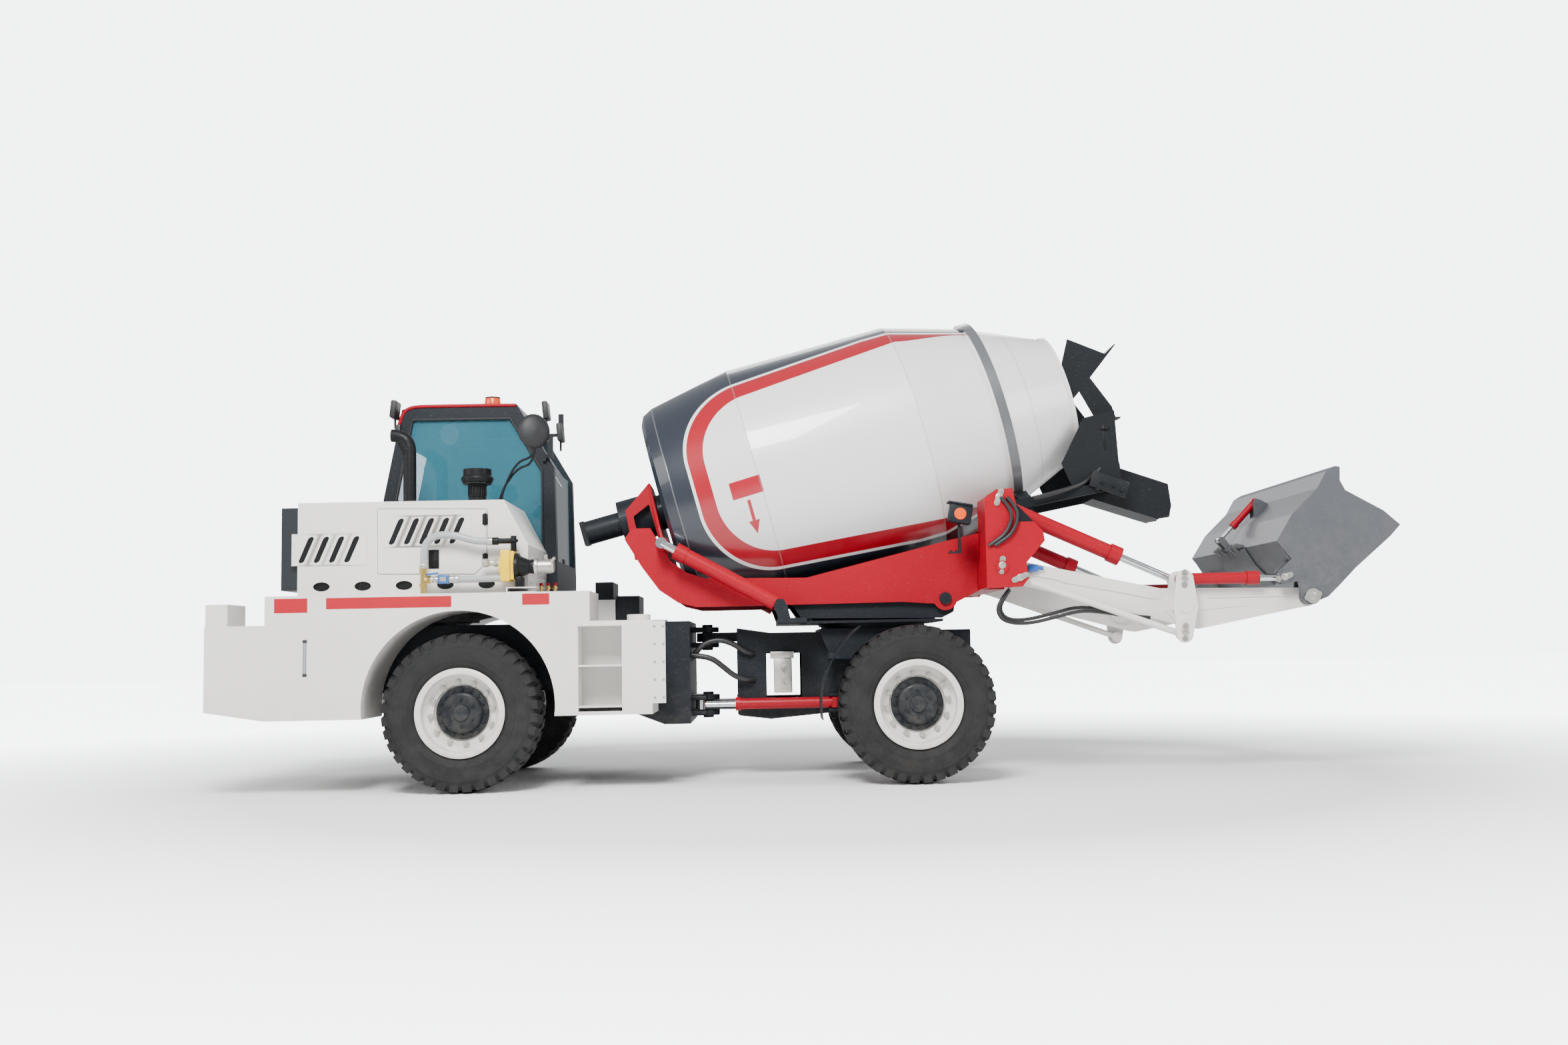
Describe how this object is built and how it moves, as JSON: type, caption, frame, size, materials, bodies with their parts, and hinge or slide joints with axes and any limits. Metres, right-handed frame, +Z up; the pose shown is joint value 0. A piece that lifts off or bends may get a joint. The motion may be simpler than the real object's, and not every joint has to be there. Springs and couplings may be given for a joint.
{
  "type": "self-loading concrete mixer",
  "caption": "Articulated self-loading concrete mixer with a tilting, slewing drum, a loader arm with a gated bucket, an enclosed cab and pneumatic tyres.",
  "frame": {"origin": "on the ground under the middle of the whole machine", "axes": "+X forward towards the bucket, +Y to the left side, +Z up"},
  "size_m": [8.606, 2.44, 3.5442],
  "materials": {
    "white_paint": "satin",
    "grey_paint": "satin",
    "red_paint": "gloss",
    "drum_paint": "gloss",
    "wheel_paint": "satin",
    "engine_paint": "satin",
    "pump_paint": "satin",
    "black_steel": "matte",
    "chrome": "polished",
    "tyre_rubber": "matte",
    "glass": "polished",
    "cab_trim": "matte"
  },
  "bodies": {
    "rear_frame": {"rear_chassis": "grey_paint", "side_tank_right": "white_paint", "side_tank_left": "white_paint", "counterweight": "white_paint", "engine": "engine_paint", "hood": "white_paint", "exhaust_and_air_cap": "black_steel", "cab_shell": "grey_paint", "cab_glass": "glass", "cab_inside": "cab_trim", "pump_set": "pump_paint", "deck_boxes": "grey_paint"},
    "cab_door": {"cab_door": "grey_paint"},
    "front_frame": {"front_chassis": "grey_paint"},
    "wheel_rear_right": {"tyre_rear_right": "tyre_rubber", "rim_rear_right": "wheel_paint"},
    "wheel_rear_left": {"tyre_rear_left": "tyre_rubber", "rim_rear_left": "wheel_paint"},
    "wheel_front_right": {"tyre_front_right": "tyre_rubber", "rim_front_right": "wheel_paint"},
    "wheel_front_left": {"tyre_front_left": "tyre_rubber", "rim_front_left": "wheel_paint"},
    "steering_barrel_right": {"steering_barrel_right": "red_paint"},
    "steering_rod_right": {"steering_rod_right": "chrome"},
    "steering_barrel_left": {"steering_barrel_left": "red_paint"},
    "steering_rod_left": {"steering_rod_left": "chrome"},
    "slew_frame": {"slew_frame": "grey_paint"},
    "drum_frame": {"drum_frame": "red_paint", "drum_gearbox": "engine_paint", "hopper_and_chute": "grey_paint"},
    "drum": {"drum": "drum_paint"},
    "drum_lift_barrels": {"drum_lift_barrels": "red_paint"},
    "drum_lift_rods": {"drum_lift_rods": "chrome"},
    "loader_arm": {"loader_arm": "white_paint"},
    "bellcranks": {"bellcranks": "grey_paint"},
    "level_links": {"level_links": "grey_paint"},
    "arm_lift_barrels": {"arm_lift_barrels": "red_paint"},
    "arm_lift_rods": {"arm_lift_rods": "chrome"},
    "bucket_tilt_barrels": {"bucket_tilt_barrels": "red_paint"},
    "bucket_tilt_rods": {"bucket_tilt_rods": "chrome"},
    "bucket_pins": {"bucket_pins": "chrome"},
    "bucket": {"bucket": "grey_paint"},
    "bucket_gate": {"bucket_gate": "black_steel"},
    "gate_barrel": {"gate_barrel": "red_paint"},
    "gate_rod": {"gate_rod": "chrome"}
  },
  "joints": [
    {"name": "articulation", "type": "hinge", "parent": "rear_frame", "child": "front_frame", "pos_m": [-0.79, 0, 0.8], "axis": [0, 0, 1], "range_deg": [-32, 32]},
    {"name": "rear_right_wheel", "type": "hinge", "parent": "rear_frame", "child": "wheel_rear_right", "pos_m": [-2.5, -1, 0.565], "axis": [0, 1, 0], "continuous": true},
    {"name": "rear_left_wheel", "type": "hinge", "parent": "rear_frame", "child": "wheel_rear_left", "pos_m": [-2.5, 1, 0.565], "axis": [0, 1, 0], "continuous": true},
    {"name": "front_right_wheel", "type": "hinge", "parent": "front_frame", "child": "wheel_front_right", "pos_m": [0.74, -1, 0.565], "axis": [0, 1, 0], "continuous": true},
    {"name": "front_left_wheel", "type": "hinge", "parent": "front_frame", "child": "wheel_front_left", "pos_m": [0.74, 1, 0.565], "axis": [0, 1, 0], "continuous": true},
    {"name": "steering_swing_right", "type": "hinge", "parent": "front_frame", "child": "steering_barrel_right", "pos_m": [0.2, -0.345, 0.562], "axis": [0, 0, 1], "range_deg": [-3, 3]},
    {"name": "steering_stroke_right", "type": "slide", "parent": "steering_barrel_right", "child": "steering_rod_right", "axis": [-1, 0, 0], "range_m": [-0.21, 0.21]},
    {"name": "steering_swing_left", "type": "hinge", "parent": "front_frame", "child": "steering_barrel_left", "pos_m": [0.2, 0.345, 0.562], "axis": [0, 0, 1], "range_deg": [-3, 3]},
    {"name": "steering_stroke_left", "type": "slide", "parent": "steering_barrel_left", "child": "steering_rod_left", "axis": [-1, 0, 0], "range_m": [-0.21, 0.21]},
    {"name": "slew", "type": "hinge", "parent": "front_frame", "child": "slew_frame", "pos_m": [0.507, 0, 1.15], "axis": [0, 0, -1], "range_deg": [-90, 90]},
    {"name": "drum_tilt", "type": "hinge", "parent": "slew_frame", "child": "drum_frame", "pos_m": [1.025, 0, 1.33], "axis": [0, 1, 0], "range_deg": [0, 15]},
    {"name": "drum_spin", "type": "hinge", "parent": "drum_frame", "child": "drum", "pos_m": [0.522, 0, 2.52], "axis": [0.9659, 0, 0.2588], "continuous": true},
    {"name": "drum_lift_swing", "type": "hinge", "parent": "slew_frame", "child": "drum_lift_barrels", "pos_m": [-0.221, 0, 1.293], "axis": [0, 1, 0], "range_deg": [-1, 29]},
    {"name": "drum_lift_stroke", "type": "slide", "parent": "drum_lift_barrels", "child": "drum_lift_rods", "axis": [-0.8769, 0, 0.4806], "range_m": [-0.005, 0.24]},
    {"name": "arm_lift", "type": "hinge", "parent": "drum_frame", "child": "loader_arm", "pos_m": [1.387, 0, 1.535], "axis": [0, -1, 0], "range_deg": [-22, 48]},
    {"name": "crank_turn", "type": "hinge", "parent": "loader_arm", "child": "bellcranks", "pos_m": [2.707, 0, 1.23], "axis": [0, -1, 0], "range_deg": [-16, 8]},
    {"name": "link_swing", "type": "hinge", "parent": "drum_frame", "child": "level_links", "pos_m": [1.518, 0, 1.453], "axis": [0, -1, 0], "range_deg": [-26, 54]},
    {"name": "arm_lift_swing", "type": "hinge", "parent": "drum_frame", "child": "arm_lift_barrels", "pos_m": [1.378, 0, 2.032], "axis": [0, -1, 0], "range_deg": [-22, 47]},
    {"name": "arm_lift_stroke", "type": "slide", "parent": "arm_lift_barrels", "child": "arm_lift_rods", "axis": [0.91, 0, -0.4146], "range_m": [-0.35, 0.17]},
    {"name": "bucket_levelling", "type": "hinge", "parent": "loader_arm", "child": "bucket_pins", "pos_m": [3.634, 0, 1.283], "axis": [0, -1, 0], "range_deg": [-20, 10]},
    {"name": "bucket_tilt", "type": "hinge", "parent": "bucket_pins", "child": "bucket", "pos_m": [3.634, 0, 1.283], "axis": [0, -1, 0], "range_deg": [-45, 15]},
    {"name": "bucket_tilt_swing", "type": "hinge", "parent": "bellcranks", "child": "bucket_tilt_barrels", "pos_m": [2.708, 0, 1.426], "axis": [0, -1, 0], "range_deg": [-10, 21]},
    {"name": "bucket_tilt_stroke", "type": "slide", "parent": "bucket_tilt_barrels", "child": "bucket_tilt_rods", "axis": [1, 0, -0.0014], "range_m": [-0.05, 0.14]},
    {"name": "gate_open", "type": "hinge", "parent": "bucket", "child": "bucket_gate", "pos_m": [3.365, 0, 1.7], "axis": [0, 1, 0], "range_deg": [0, 40]},
    {"name": "gate_swing", "type": "hinge", "parent": "bucket", "child": "gate_barrel", "pos_m": [3.6, 0, 2.07], "axis": [0, -1, 0], "range_deg": [-1, 5]},
    {"name": "gate_stroke", "type": "slide", "parent": "gate_barrel", "child": "gate_rod", "axis": [-0.695, 0, -0.719], "range_m": [-0.06, 0.005]},
    {"name": "cab_door_swing", "type": "hinge", "parent": "rear_frame", "child": "cab_door", "pos_m": [-3.05, 1.168, 2.1], "axis": [0, 0, 1], "range_deg": [0, 80]}
  ],
  "couplings": [
    {"joint": "steering_swing_right", "follows": "articulation", "ratio": -0.028},
    {"joint": "steering_swing_left", "follows": "articulation", "ratio": -0.028},
    {"joint": "steering_stroke_right", "follows": "articulation", "m_per_rad": 0.33},
    {"joint": "steering_stroke_left", "follows": "articulation", "m_per_rad": -0.33},
    {"joint": "drum_lift_swing", "follows": "drum_tilt", "ratio": 1.8527},
    {"joint": "drum_lift_stroke", "follows": "drum_tilt", "m_per_rad": 0.8315},
    {"joint": "crank_turn", "follows": "arm_lift", "ratio": -0.305},
    {"joint": "link_swing", "follows": "arm_lift", "ratio": 1.092},
    {"joint": "arm_lift_swing", "follows": "arm_lift", "ratio": 0.9509},
    {"joint": "arm_lift_stroke", "follows": "arm_lift", "m_per_rad": -0.4025},
    {"joint": "bucket_levelling", "follows": "arm_lift", "ratio": -0.3937},
    {"joint": "bucket_tilt_swing", "follows": "arm_lift", "ratio": 0.4092},
    {"joint": "bucket_tilt_stroke", "follows": "bucket_tilt", "m_per_rad": -0.1625},
    {"joint": "gate_swing", "follows": "gate_open", "ratio": 0.0974},
    {"joint": "gate_stroke", "follows": "gate_open", "m_per_rad": -0.0783}
  ]
}
